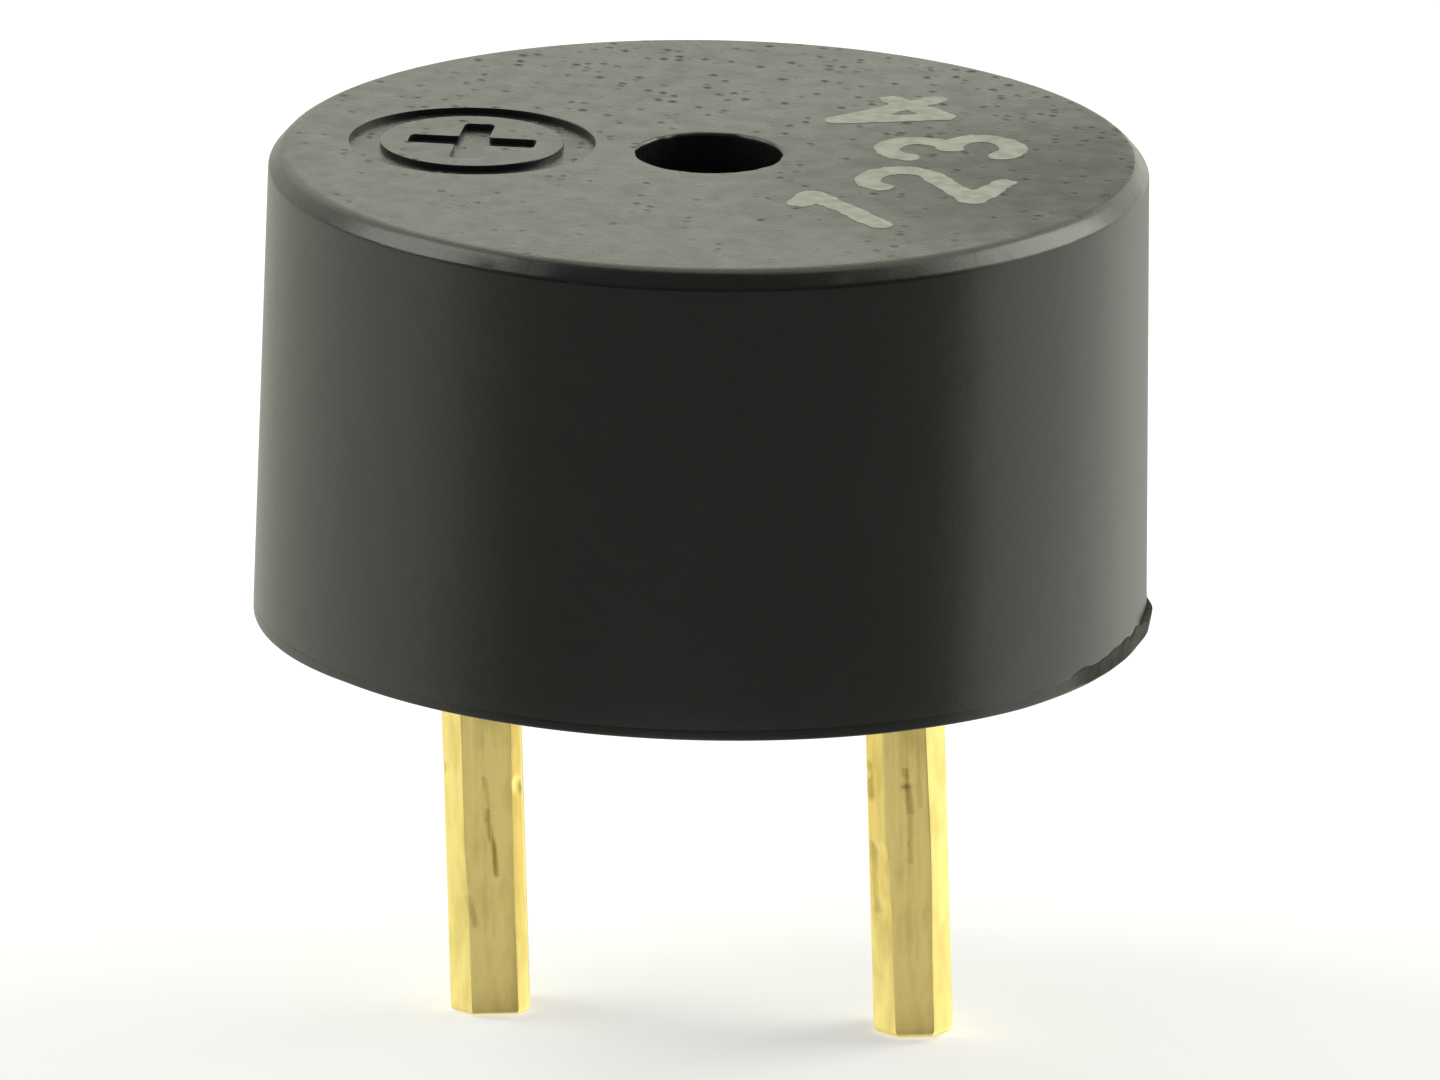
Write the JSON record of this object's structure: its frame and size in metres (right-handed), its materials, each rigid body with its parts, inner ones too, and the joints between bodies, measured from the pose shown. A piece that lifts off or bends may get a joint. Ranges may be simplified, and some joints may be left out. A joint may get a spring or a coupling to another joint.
{
  "type": "magnetic buzzer",
  "caption": "Low round magnetic buzzer with a sound hole in the top and through-board pins, with coil, magnet and diaphragm inside.",
  "frame": {"origin": "centre of the seat, the ring-shaped face under the case that meets the board", "axes": "+Z out of the sound hole, the pins along -Z, X through both pins with the positive pin on -X"},
  "size_m": [0.0121, 0.012, 0.0121],
  "materials": {
    "case": "black moulded PBT, fine spark-eroded grain on the top",
    "base": "black moulded PBT",
    "resin": "black epoxy, self-levelled",
    "pins": "gold over nickel on drawn brass bar",
    "solder": "tin solder, dull bright",
    "plated_steel": "nickel-plated soft steel",
    "magnet": "bonded magnet, dark grey",
    "bobbin": "natural moulded nylon",
    "enamelled_copper": "enamelled copper wire",
    "support_ring": "turned brass",
    "diaphragm": "rolled nickel-iron sheet",
    "armature": "stamped steel disc"
  },
  "bodies": {
    "housing": {"case": "case", "base": "base", "sealing_resin": "resin", "pin_positive": "pins", "pin_negative": "pins", "solder_positive": "solder", "solder_negative": "solder", "yoke": "plated_steel", "core": "plated_steel", "magnet": "magnet", "bobbin": "bobbin", "winding": "enamelled_copper", "lead_start": "enamelled_copper", "lead_finish": "enamelled_copper", "support_ring": "support_ring", "diaphragm": "diaphragm"},
    "armature_disc": {"armature": "armature"}
  },
  "joints": [
    {"name": "armature_travel", "type": "slide", "parent": "housing", "child": "armature_disc", "axis": [0, 0, 1], "range_m": [-0.0001, 0.0001], "stiffness_N_per_m": 9000, "deforming": ["diaphragm"]}
  ]
}
